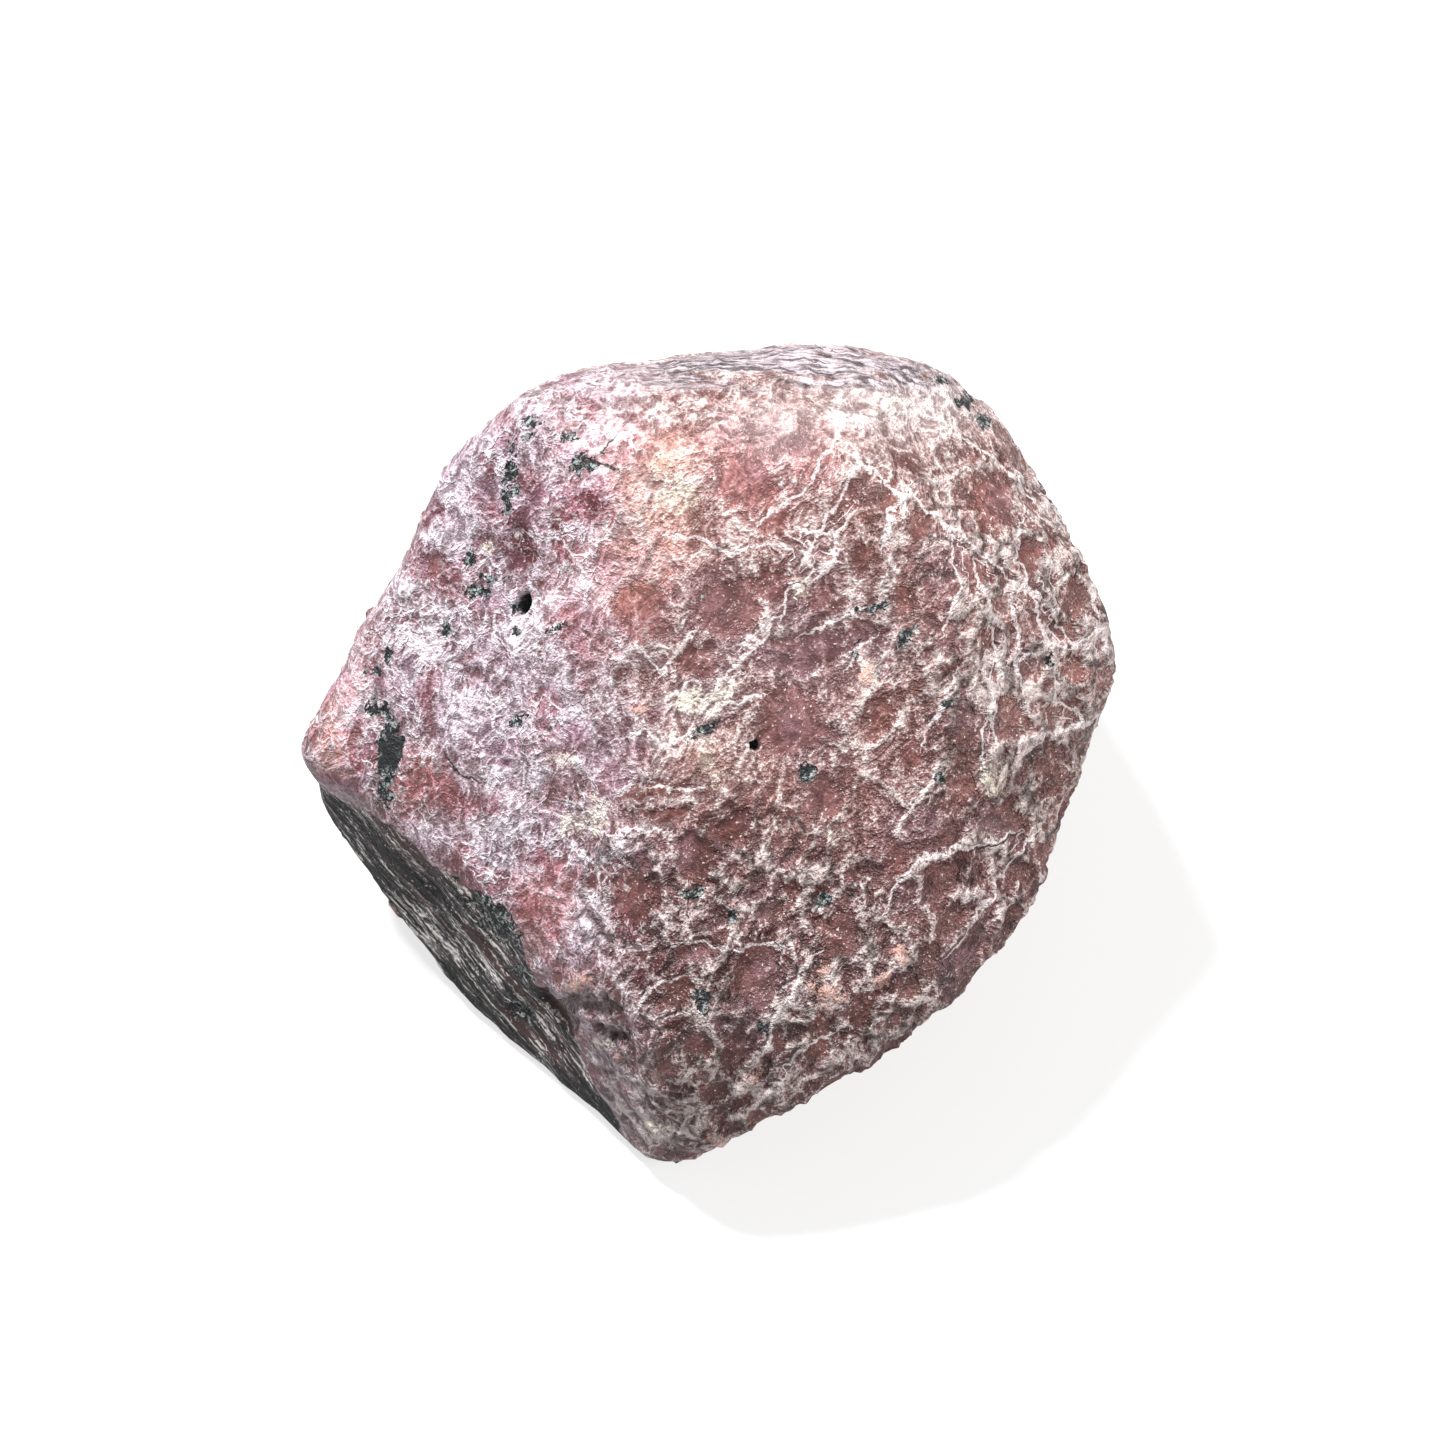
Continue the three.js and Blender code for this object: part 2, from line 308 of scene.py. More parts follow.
SALMON = [
    (826, 993, 13, 17), (983, 947, 8, 6), (903, 953, 7, 10), (883, 977, 9, 8), (753, 1077, 8, 10),
    (636, 708, 9, 6), (852, 809, 6, 5), (575, 983, 13, 10), (720, 1135, 9, 6), (867, 675, 8, 8),
    (617, 1057, 6, 5)]
HOLES = [(757, 746, 5, 3.5, 30), (521, 606, 7, 11, -15)]
BLACK_MICA = [(392, 752, 8, 15)]
UNDERCUTS = [(590, 1006, 34, 8, -8), (612, 1034, 14, 5, -25), (560, 1012, 26, 8, -50)]


def scattered(across, seed, rarity):
    """The same as patches, for the sides that the frame doesn't show: a few spots, placed by a noise."""
    return step(soft_noise(across, seed), rarity - 0.15, rarity + 0.15) * hidden


keep("mica", np.maximum(patches(*MICA), scattered(2.6, seed=7.3, rarity=0.56)))
keep("cream", np.maximum(patches(*CREAM), scattered(3.4, seed=19.1, rarity=0.5)))
keep("grain", np.maximum(patches(*SALMON), scattered(2.8, seed=31.7, rarity=0.55)))
keep("hole", patches(*HOLES))
keep("black_mica", patches(*BLACK_MICA))
keep("undercut", patches(*UNDERCUTS))

# Pale crests that run as lines, among them a fan of needles and two small rings, and fine dark cracks.
CRESTS = [
    [(670, 535), (700, 539), (720, 547), (742, 551), (767, 542), (787, 550)],
    [(792, 532), (810, 530), (830, 535)],
    [(740, 645), (760, 637), (775, 620), (787, 610), (785, 592), (800, 580), (830, 560), (850, 520)],
    [(805, 632), (830, 620), (857, 610)],
    [(732, 702), (760, 695)],
    [(488, 697), (492, 730), (500, 738)],
    [(470, 862), (500, 875)],
    [(617, 830), (657, 831)],
    [(813, 957), (797, 977), (783, 1007), (763, 1043)],
    [(647, 1150), (670, 1132), (690, 1120)],
    [(640, 1007), (652, 985), (680, 977)],
    [(904, 820), (920, 797), (942, 770)],
    [(850, 452), (909, 498), (984, 557), (1008, 581), (1045, 602)],
    [(936, 375), (955, 431), (995, 458), (1035, 498), (1075, 533), (1092, 581)],
    [(1021, 658), (1046, 645), (1077, 651), (1092, 628)],
    [(1023, 755), (1040, 740), (1065, 728), (1104, 716)],
    [(992, 885), (1010, 862), (1038, 828)],
    [(954, 951), (975, 920), (992, 893)],
    [(958, 847), (985, 845), (1015, 832)],
    [(890, 905), (900, 880), (925, 855), (958, 847)],
    [(753, 1107), (765, 1092), (777, 1080)],
    [(787, 1063), (810, 1045), (833, 1033)],
    [(675, 950), (700, 940), (737, 950), (780, 947)],
    [(800, 560), (835, 505), (855, 470)],
    [(1010, 590), (1016, 640), (1022, 690)],
    [(985, 655), (990, 700), (1000, 745)],
    [(925, 860), (960, 850)],
    [(1035, 470), (1060, 520), (1084, 562), (1100, 610), (1106, 655)],
    [(512, 592), (508, 608), (513, 624), (524, 622), (532, 606)],
    [(516, 626), (510, 638), (522, 650), (530, 634)],
    [(722, 682), (738, 664), (758, 644), (778, 622), (787, 608)],
    [(606, 446), (622, 438), (638, 446)],
    [(840, 432), (821, 466), (797, 494), (764, 523)],
    [(1049, 566), (1054, 628), (1088, 656)],
    [(1021, 523), (1016, 561), (1035, 604), (1049, 647)],
    [(945, 537), (959, 590), (945, 628)],
    [(992, 618), (997, 666), (988, 713), (983, 761)],
    [(873, 637), (850, 666)],
    [(907, 490), (888, 518), (883, 547)],
    [(1059, 666), (1054, 704), (1088, 723)],
    [(926, 742), (945, 704), (954, 675)],
    [(973, 556), (983, 590), (990, 628)],
    [(835, 537), (830, 566), (797, 590)],
    [(450, 694), (482, 707), (495, 698)],
    [(559, 539), (582, 562), (584, 589)],
    [(500, 607), (495, 635), (518, 657), (536, 648)],
    [(573, 439), (591, 453), (623, 430), (636, 437)],
    [(618, 739), (645, 730), (664, 744)],
    [(545, 816), (573, 825), (618, 835), (664, 832)],
    [(655, 789), (700, 791)],
    [(614, 657), (636, 644), (664, 671), (691, 635)]]
FAN_ROOT = (447, 632)
FAN_TIPS = [(411, 626), (408, 634), (407, 643), (411, 652), (419, 659), (430, 661)]
RINGS = [(692, 692), (726, 687)]
RING_RADIUS = 9
RING_TURNS = [math.radians(angle) for angle in range(0, 361, 40)]
CRACKS = [
    [(448, 756), (458, 772), (477, 781)],
    [(585, 465), (600, 452), (612, 440)],
    [(585, 460), (602, 460), (617, 467)],
    [(975, 850), (1015, 835)]]
fan = [[FAN_ROOT, tip] for tip in FAN_TIPS]
rings = [[(x + RING_RADIUS * math.cos(turn), y + RING_RADIUS * math.sin(turn)) for turn in RING_TURNS]
         for x, y in RINGS]
vein, by_vein = lines(*CRESTS, *fan, *rings)
keep("vein", vein)
keep("by_vein", by_vein)
crack, by_crack = lines(*CRACKS)
keep("crack", crack)
keep("by_crack", by_crack)

# The colour of the glassy body, laid on in soft patches of a few named colours, one over the other.
COLOURS = {
    "brown": (138, 86, 80),
    "deep brown": (90, 52, 48),
    "cell brown": (134, 78, 70),
    "maroon": (112, 60, 70),
    "mauve": (142, 112, 124),
    "lilac": (158, 128, 150),
    "rose": (212, 144, 144),
    "salmon": (226, 162, 138),
    "magenta": (168, 78, 98),
    "dark magenta": (92, 32, 44),
    "pale rose": (208, 188, 188),
    "red": (150, 20, 24),
}
MAUVE_PLACES = [
    (495, 665, 30, 46), (436, 562, 24, 22), (620, 745, 34, 30), (800, 640, 90, 60), (800, 720, 40, 40),
    (720, 610, 50, 40), (700, 690, 40, 30)]
LILAC_PLACES = [
    (440, 480, 60, 50), (480, 700, 60, 60), (520, 860, 60, 40), (585, 930, 18, 40), (500, 440, 40, 30)]
ROSE_PLACES = [
    (345, 690, 20, 60, -20), (745, 480, 50, 55), (800, 455, 34, 34), (640, 560, 70, 60),
    (600, 600, 50, 50), (340, 720, 24, 60), (610, 470, 50, 60), (580, 500, 40, 30), (420, 780, 30, 30),
    (550, 900, 40, 40)]
SALMON_PLACES = [(650, 520, 40, 50), (620, 575, 36, 30), (330, 740, 14, 30), (665, 462, 26, 24)]
MAGENTA_PLACES = [(588, 500, 30, 20), (600, 483, 12, 10), (515, 545, 26, 40), (560, 495, 16, 16)]
DARK_MAGENTA_PLACES = [
    (519, 536, 16, 18), (504, 568, 10, 16), (531, 556, 12, 16), (485, 538, 10, 10), (592, 502, 9, 6)]
MAROON_PLACES = [
    (690, 850, 60, 50), (630, 965, 34, 46), (920, 830, 60, 70), (600, 880, 40, 50), (640, 1040, 40, 20)]
DEEP_BROWN_PLACES = [
    (700, 1000, 110, 100), (860, 960, 120, 90), (700, 850, 90, 60), (970, 830, 74, 64),
    (600, 1008, 30, 12, -35), DARK_WEDGE]
PALE_ROSE_PLACES = [(905, 412, 90, 32), (775, 424, 44, 26)]
RED_SPOT = (580, 681, 4, 4)


def linear(colour):
    """A colour as it looks on a screen, 0 to 255, in the linear values that shaders use."""
    share = np.array(colour) / 255
    return np.where(share > 0.04045, ((share + 0.055) / 1.055) ** 2.4, share / 12.92)


body = np.tile(linear(COLOURS["brown"]), (len(place), 1))
for colour, amount in (
        ("mauve", 0.4 * left_face + 0.3 * low_face),
        ("deep brown", 0.65 * patches(*DEEP_BROWN_PLACES, reach=1.6)),
        ("cell brown", 0.6 * bare * (1 - low_face) * (1 - left_face)),
        ("deep brown", 0.95 * patches(*LOW_CELLS, reach=1.7)),
        ("lilac", 0.6 * patches(*LILAC_PLACES, reach=1.7)),
        ("rose", 1.1 * patches(*ROSE_PLACES, reach=1.5)),
        ("salmon", patches(*SALMON_PLACES, reach=1.6)),
        ("magenta", 1.2 * patches(*MAGENTA_PLACES, reach=1.6)),
        ("maroon", 0.6 * patches(*MAROON_PLACES, reach=1.6)),
        ("mauve", 0.75 * patches(*MAUVE_PLACES, reach=1.6)),
        ("dark magenta", 1.5 * patches(*DARK_MAGENTA_PLACES, reach=1.8)),
        ("magenta", 0.4 * glassy),
        ("pale rose", 0.9 * patches(*PALE_ROSE_PLACES, reach=1.6)),
        ("red", 2 * patches(RED_SPOT))):
    body = body + (linear(COLOURS[colour]) - body) * np.clip(amount, 0, 1)[:, None]
body_data = ruby_mesh.attributes.new("body_colour", "FLOAT_COLOR", "POINT").data
body_data.foreach_set("color", np.hstack([body, np.ones((len(place), 1))]).astype(np.float32).ravel())

# Each point's place in mm, which stays as it is when the relief is raised, and how clear it is of the base.
rest_data = ruby_mesh.attributes.new("rest", "FLOAT_VECTOR", "POINT").data
rest_data.foreach_set("vector", (place / MM).astype(np.float32).ravel())
keep("lift", step(place[:, 2] / MM, 0, 1.5))


class Wire:
    """One value in a node tree, a number or a vector, that can be added, multiplied and so on."""

    def __init__(self, tree, socket):
        self.tree, self.socket = tree, socket

    def through(self, kind, *inputs, **settings):
        """The first output of a new node, given its settings and its inputs in order."""
        node = self.tree.nodes.new(kind)
        for name, value in settings.items():
            setattr(node, name, value)
        sockets = [socket for socket in node.inputs if socket.enabled]
        for socket, value in zip(sockets, inputs):
            if isinstance(value, Wire):
                self.tree.links.new(value.socket, socket)
            else:
                socket.default_value = value
        return Wire(self.tree, next(socket for socket in node.outputs if socket.enabled))

    def math(self, operation, *others):
        return self.through("ShaderNodeMath", self, *others, operation=operation)

    def __add__(self, other):
        return self.math("ADD", other)

    def __sub__(self, other):
        return self.math("SUBTRACT", other)

    def __mul__(self, other):
        return self.math("MULTIPLY", other)

    def __rsub__(self, other):
        return (self * -1) + other

    __radd__ = __add__

    def least(self, other):
        return self.math("MINIMUM", other)

    def most(self, other):
        return self.math("MAXIMUM", other)

    def plus(self, other):
        return self.through("ShaderNodeVectorMath", self, other, operation="ADD")

    def times(self, amount):
        return self.through("ShaderNodeVectorMath", self, (amount,) * 3, operation="MULTIPLY")

    def stretched(self, axis, amount):
        """The place, drawn out along an axis: what is made from it is amount times as long that way."""
        along = self.through("ShaderNodeVectorMath", self, tuple(axis), operation="DOT_PRODUCT")
        node = self.tree.nodes.new("ShaderNodeVectorMath")
        node.operation = "SCALE"
        node.inputs[0].default_value = tuple(axis)
        self.tree.links.new((along * (1 / amount - 1)).socket, node.inputs["Scale"])
        return self.plus(Wire(self.tree, node.outputs[0]))

    def rise(self, low, high):
        """0 below low, 1 above high, and a smooth rise between them."""
        node = self.tree.nodes.new("ShaderNodeMapRange")
        node.interpolation_type = "SMOOTHSTEP"
        self.tree.links.new(self.socket, node.inputs["Value"])
        for name, value in (("From Min", low), ("From Max", high)):
            if isinstance(value, Wire):
                self.tree.links.new(value.socket, node.inputs[name])
            else:
                node.inputs[name].default_value = value
        return Wire(self.tree, node.outputs["Result"])

    def texture(self, kind, across, seed=0.0, **values):
        """A texture node whose lumps, ridges or cells are so far across, moved aside by its seed."""
        node = self.tree.nodes.new(kind)
        moved = self.plus((seed, -seed, 2 * seed)) if seed else self
        self.tree.links.new(moved.socket, node.inputs["Vector"])
        node.inputs["Scale"].default_value = 1 / across
        for name, value in values.items():
            node.inputs[name.title()].default_value = value
        return node

    def noise(self, across, detail=0, seed=0.0, output="Fac", roughness=0.5):
        node = self.texture("ShaderNodeTexNoise", across, seed, detail=detail, roughness=roughness)
        return Wire(self.tree, node.outputs[output])

    def curls(self, across, detail, seed, roughness, distortion):
        """Thin curled ridges with pockets between: about 0 on average, 0.8 on a ridge, -1 in a pocket."""
        node = self.texture("ShaderNodeTexNoise", across, seed, detail=detail, roughness=roughness)
        node.noise_type = "RIDGED_MULTIFRACTAL"
        for name, value in (("Offset", 1), ("Gain", 2), ("Distortion", distortion)):
            node.inputs[name].default_value = value
        return Wire(self.tree, node.outputs["Fac"]) - 2.1

    def cell_chance(self, across):
        """A number from 0 to 1 that is the same all over each cell that is so far across."""
        colour = Wire(self.tree, self.texture("ShaderNodeTexVoronoi", across).outputs["Color"])
        return self.through("ShaderNodeVectorMath", colour, (1, 0, 0), operation="DOT_PRODUCT")

    def to_cell_edge(self, across):
        """The distance to the nearest edge between cells that are so far across."""
        node = self.texture("ShaderNodeTexVoronoi", across)
        node.feature = "DISTANCE_TO_EDGE"
        return Wire(self.tree, node.outputs["Distance"]) * across

    def mix(self, other, amount):
        """This value towards another by an amount."""
        return self + (other - self) * amount


def stored(tree, name, output="Fac"):
    """A value stored on the points of the stone, in the tree of its relief or of its material."""
    if tree.type == "GEOMETRY":
        node = tree.nodes.new("GeometryNodeInputNamedAttribute")
        node.data_type = "FLOAT_VECTOR" if output == "Vector" else "FLOAT"
        node.inputs["Name"].default_value = name
        outputs = [socket for socket in node.outputs if socket.enabled and socket.name == "Attribute"]
        return Wire(tree, outputs[0])
    node = tree.nodes.new("ShaderNodeAttribute")
    node.attribute_name = name
    return Wire(tree, node.outputs[output])


# The cells between the crests, the small cells and the pebbles, in mm across, and the directions in which the
# cells and the streaks of the sheared side are drawn out.
CELL = 3.3
SMALL_CELL = 1.7
PEBBLE = 1.1
SLANT = 0.5 * right + 0.85 * up
SHEAR = 0.68 * right - 0.73 * up


def growth(tree):
    """The pattern that the relief and the material share: where the crests, grains, mica and veins are."""
    rest = stored(tree, "rest", "Vector")
    wander = rest.noise(3.2, 1, 4.1, "Color").plus((-0.5,) * 3).times(2.2)
    shiver = rest.noise(0.7, 2, 9.7, "Color").plus((-0.5,) * 3).times(0.8)
    loose = rest.plus(wander).plus(shiver)
    cell_place = loose.stretched(SLANT, 1.5)
    small_place = rest.plus(wander.times(0.4)).plus(shiver.times(0.6)).stretched(SLANT, 1.6)
    shear = rest.plus(shiver.times(0.6)).stretched(SHEAR, 5)
    layers = rest.plus(shiver.times(0.6)).stretched(right, 5)

    small_cells = stored(tree, "small_cells")
    cells = cell_place.cell_chance(CELL).mix(small_place.cell_chance(SMALL_CELL), small_cells)
    to_small_edge = small_place.to_cell_edge(SMALL_CELL) + (1 - small_cells) * 2
    apart = cell_place.to_cell_edge(CELL).least(to_small_edge)
    ragged = rest.noise(0.8, 3, 51.0, roughness=0.8) - 0.5
    edged = stored(tree, "bare") + ragged * 1.2
    bare = edged.rise(0.40, 0.54)
    strength = stored(tree, "crests")
    width = rest.noise(2.2, 1, 31.0).rise(0.35, 0.8) * 0.2 + 0.1
    crest = (1 - apart.rise(0.04, width)) * (rest.noise(1.9, 1, 17.0) + strength * 0.45).rise(0.40, 0.62)
    crest = crest * (1 - bare * 0.7)
    halo = (1 - apart.rise(0.0, 0.6)) * (1 - bare * 0.4)

    mica = stored(tree, "mica") + stored(tree, "black_mica") + ragged * 2.6
    cream = stored(tree, "cream") + ragged * 2.6
    grain = stored(tree, "grain") + ragged * 2.6
    wobble = (rest.noise(0.9, 3, 71.0, roughness=0.6) - 0.5) * 1.2
    from_vein = (stored(tree, "vein") + wobble).math("ABSOLUTE")
    from_crack = (stored(tree, "crack") + wobble * 0.6).math("ABSOLUTE")
    pebble_edge = small_place.to_cell_edge(PEBBLE)
    pebbled = small_cells * (1 - bare * 0.7)
    raised_share = rest.noise(1.5, 1, 91.0).rise(0.4, 0.6)
    parts = {
        "bare": bare,
        "rim": edged.rise(0.14, 0.30) * (1 - edged.rise(0.32, 0.42)),
        "mica": mica.rise(0.46, 0.60),
        "cream": cream.rise(0.46, 0.60),
        "grain": grain.rise(0.46, 0.60),
        "hole": stored(tree, "hole").rise(0.4, 0.56),
        "undercut": (stored(tree, "undercut") + ragged * 1.2).rise(0.36, 0.6),
        "vein": (1 - from_vein.rise(0.02, 0.15)) * stored(tree, "by_vein").rise(0.3, 0.6),
        "crack": (1 - from_crack.rise(0.02, 0.13)) * stored(tree, "by_crack").rise(0.4, 0.7),
        "net": (1 - pebble_edge.rise(0.03, 0.15)) * raised_share * pebbled,
        "crevice": (1 - pebble_edge.rise(0.03, 0.2)) * (1 - raised_share) * pebbled,
        "dome": pebble_edge.rise(0.0, 0.4) * pebbled,
        "pebble": (small_place.cell_chance(PEBBLE) - 0.5) * pebbled,
    }
    return rest, loose, crest, halo, strength, shear, layers, parts, cells


# The relief in mm, raised along the surface's own direction. It fades out at the base, which stays flat.
CREST_HEIGHT = 0.12
HALO_HEIGHT = 0.16
BED_DEPTH = 0.09
LUMP_HEIGHT = 0.26
SHEAR_HEIGHT = 0.6
PART_HEIGHTS = {
    "rim": 0.04, "bare": -0.07, "grain": 0.2, "vein": 0.04,
    "crack": -0.15, "mica": -0.1, "hole": -0.8, "undercut": -0.4,
}

relief_tree = bpy.data.node_groups.new("ruby relief", "GeometryNodeTree")
relief_tree.interface.new_socket("Geometry", in_out="INPUT", socket_type="NodeSocketGeometry")
relief_tree.interface.new_socket("Geometry", in_out="OUTPUT", socket_type="NodeSocketGeometry")
_, loose, crest, halo, strength, shear, _, parts, _ = growth(relief_tree)
dark = stored(relief_tree, "dark_side")
height = (crest * CREST_HEIGHT + halo * HALO_HEIGHT) * (strength * 0.85 + 0.2) - BED_DEPTH
height = height + (loose.noise(1.5, 2, 7.0) - 0.5) * LUMP_HEIGHT
height = height.mix((shear.noise(1.1, 1, 3.0) - 0.5) * SHEAR_HEIGHT, dark)
for part, part_height in PART_HEIGHTS.items():
    height = height + parts[part] * part_height
height = height * stored(relief_tree, "lift") * MM
normal = relief_tree.nodes.new("GeometryNodeInputNormal")
push = relief_tree.nodes.new("ShaderNodeVectorMath")
push.operation = "SCALE"
relief_tree.links.new(normal.outputs["Normal"], push.inputs[0])
relief_tree.links.new(height.socket, push.inputs["Scale"])
moved = relief_tree.nodes.new("GeometryNodeSetPosition")
group_in = relief_tree.nodes.new("NodeGroupInput")
group_out = relief_tree.nodes.new("NodeGroupOutput")
relief_tree.links.new(group_in.outputs["Geometry"], moved.inputs["Geometry"])
relief_tree.links.new(push.outputs["Vector"], moved.inputs["Offset"])
relief_tree.links.new(moved.outputs["Geometry"], group_out.inputs["Geometry"])
relief = ruby.modifiers.new("relief", "NODES")
relief.node_group = relief_tree
raised = bpy.data.meshes.new_from_object(ruby.evaluated_get(bpy.context.evaluated_depsgraph_get()))
ruby.modifiers.clear()
ruby.data = raised
raised.name = "ruby_stone"
for vertex in raised.vertices:
    vertex.co.z = max(vertex.co.z, 0)
raised.shade_smooth()


# Its material: opaque stone with a faint gloss, its tones given as they look on a screen. Some of the tones
# are painted light: highlights on the frost, mica and specks, and shade in hollows, under ledges and in
# holes.
GLOSS = 0.3
RUBY_IOR = 1.76
TONES = {
    "deep glass": (62, 28, 26),
    "cell glass": (136, 82, 74),
    "pale glass": (150, 104, 98),
    "violet cast": (176, 150, 178),
    "thin frost": (240, 226, 224),
    "thin lilac frost": (242, 228, 244),
    "frost white and highlight": (252, 242, 238),
    "lilac frost white and highlight": (255, 248, 255),
    "pocket": (56, 26, 26),
    "crevice": (46, 28, 26),
    "shadow line": (66, 34, 34),
    "glint_specks": (255, 244, 244),
    "vein": (250, 238, 240),
    "sheared black": (4, 4, 6),
    "sheared grey": (106, 101, 103),
    "sheared rose": (122, 74, 70),
    "white streak": (250, 242, 238),
    "edge brown": (88, 52, 50),
    "sheared spark": (235, 232, 234),
    "strip shade": (70, 62, 66),
    "strip pale": (220, 206, 214),
    "cream grain": (255, 246, 226),
    "salmon grain": (212, 166, 154),
    "mica black": (20, 25, 26),
    "mica glints": (190, 200, 200),
    "ledge shade": (58, 30, 26),
    "crack brown": (46, 28, 24),
    "hole black": (8, 9, 9),
}
stone = bpy.data.materials.new("rough ruby")
stone.use_nodes = True
tree = stone.node_tree
tree.nodes.clear()
surface = tree.nodes.new("ShaderNodeBsdfPrincipled")
out = tree.nodes.new("ShaderNodeOutputMaterial")
tree.links.new(surface.outputs[0], out.inputs["Surface"])
rest, loose, crest, halo, strength, shear, layers, parts, cells = growth(tree)
dark = (stored(tree, "dark_side") + (rest.noise(1.2, 2, 5.0) - 0.5) * 0.5).rise(0.4, 0.6)
strip = stored(tree, "layered")


def blend(first, second, amount):
    """A colour from first to second by an amount. Each colour is a wire or the name of a tone."""
    node = tree.nodes.new("ShaderNodeMix")
    node.data_type = "RGBA"
    sockets = [socket for socket in node.inputs if socket.enabled]
    for socket, value in zip(sockets, (amount, first, second)):
        if isinstance(value, Wire):
            tree.links.new(value.socket, socket)
        elif isinstance(value, str):
            socket.default_value = (*linear(TONES[value]), 1)
        else:
            socket.default_value = value
    return Wire(tree, next(socket for socket in node.outputs if socket.enabled))


# The frosting: a worn, gritty bloom that lies thick along the crests and thin over the glassy cells. On the
# left face it is drawn out in hairs and threads, with fine white squiggles over it. Its whitest flecks are
# partly real frost and partly painted highlights, the light on the facets painted into the colour.
clouds = rest.noise(5.5, 2, 13.0)
swayed = rest.plus(rest.noise(3.2, 1, 4.1, "Color").plus((-0.5,) * 3).times(1.1))
drawn_out = swayed.stretched(SLANT, 1.5)
curdle = drawn_out.noise(1.1, 3, 15.0, roughness=0.95)
grit = rest.noise(0.22, 1, 37.0, roughness=0.9)
lilac_frost = stored(tree, "lilac_frost")
broad_curls = drawn_out.curls(2.2, 3, 3.0, 0.8, 1.0)
curls = broad_curls.mix(drawn_out.curls(1.1, 2, 8.0, 0.9, 0.8), lilac_frost * 0.35 + 0.45)
hairs = swayed.stretched(SLANT, 5).noise(0.3, 2, 57.0, roughness=0.8)
threads = drawn_out.curls(1.6, 1, 93.0, 0.6, 1.2).rise(0.55, 0.8)
# Thin dark lines along the curled ridges: painted thin shadows beside them.
shadow_lines = drawn_out.curls(1.8, 2, 21.0, 0.8, 0.7).rise(0.35, 0.75)
cover = stored(tree, "frost") + (clouds - 0.5) * (lilac_frost * 0.4 + 0.6) + (cells - 0.5) * 0.1
cover = cover + crest * (strength * 0.58 + 0.05) + stored(tree, "by_vein") * 0.06
cover = cover + parts["vein"] * (0.8 + strength * 0.2) + parts["net"] * 0.5 + parts["pebble"] * 0.6
cover = cover - (1 - halo) * (strength * 0.42 + 0.04) + parts["rim"] * 0.1 - parts["bare"] * 0.42
calm = 1 - strength * 0.1 - lilac_frost * 0.1 - stored(tree, "smooth") * 0.5
frosting = cover + (curdle - 0.5) * calm * (2.1 - lilac_frost * 0.5)
frosting = frosting + (grit - 0.5) * (strength * 1.3 + 1.8) + curls * calm * (0.65 - lilac_frost * 0.2)
frosting = frosting + ((hairs - 0.5) * 1.1 + threads * 0.8 - 0.14) * lilac_frost
bloom = frosting.rise(-0.15, 0.75)
crumbs = rest.noise(0.4, 2, 83.0, roughness=0.8).rise(0.36, 0.58)
thin = drawn_out.curls(0.6, 2, 67.0, 0.8, 0.6).rise(-0.1, 0.5)
outlines = drawn_out.noise(1.3, 1, 63.0, roughness=0.6) - 0.5
squiggles = 1 - outlines.math("ABSOLUTE").rise(0.012, 0.04)
swirls = rest.noise(2.1, 2, 79.0, roughness=0.6) - 0.5
squiggles = squiggles.most(1 - swirls.math("ABSOLUTE").rise(0.008, 0.03))
squiggles = squiggles * rest.noise(3.0, 2, 47.0, roughness=0.6).rise(0.45, 0.57) * (crumbs * 0.7 + 0.3)
squiggles = squiggles * lilac_frost * 0.9 * (1 - stored(tree, "smooth") * 0.5)
worn = (1 - thin) * ((strength * 0.5).least(0.42) + lilac_frost * 0.2)
# The whitest frost: partly real frost and partly painted highlights of the light on the facets.
frost_and_glint = frosting.rise(lilac_frost * 0.12 + 0.45, 1.15) * (crumbs * 0.5 + 0.5) * (1 - worn)
frost_and_glint = frost_and_glint.most(squiggles)
# Painted shade in the hollows between the curled ridges.
pocket = (0.0 - curls - 0.1).rise(0.0, 0.7)
# Painted highlights: fine white specks where the light would catch the glassy cells.
glint_specks = grit.rise(0.65, 0.73) * curdle.rise(0.42, 0.56)

# The mottled body, the frosting on it through a pale middle tone to white, then painted shade in the pockets,
# crevices and thin dark lines, and painted highlights in fine specks.
mottle = loose.noise(2.4, 3, 21.0).rise(0.3, 0.7)
body_colour = stored(tree, "body_colour", "Color")
colour = blend(body_colour, "deep glass", (1 - mottle) * 0.16 + (0.0 - frosting).most(0) * 0.6)
colour = blend(colour, "cell glass", parts["bare"] * (0.3 - lilac_frost * 0.15))
colour = blend(colour, "pale glass", cells * 0.25)
violet = loose.noise(3.5, 1, 61.0).rise(0.50, 0.70) * (lilac_frost * 0.3 + 0.12)
colour = blend(colour, "violet cast", violet)
middle_tone = blend(body_colour, blend("thin frost", "thin lilac frost", lilac_frost), 0.5)
colour = blend(colour, middle_tone, bloom * 0.75)
# The white tones are partly frost and partly painted highlight.
colour = blend(colour, blend("frost white and highlight", "lilac frost white and highlight", lilac_frost), frost_and_glint)
# Painted shade in the hollows between the curled ridges.
colour = blend(colour, "pocket", pocket * 0.5)
# Painted shade in the crevices round the pebbles.
colour = blend(colour, "crevice", parts["crevice"] * 0.75)
# Painted thin shadows in dark lines.
colour = blend(colour, "shadow line", shadow_lines * (0.55 - parts["bare"] * 0.35))
# Painted highlights in fine specks.
colour = blend(colour, "glint_specks", glint_specks * (parts["bare"] * 0.25 + 0.45))
colour = blend(colour, "vein", parts["vein"] * 0.55)
white = bloom * 0.4 + frost_and_glint * 0.6

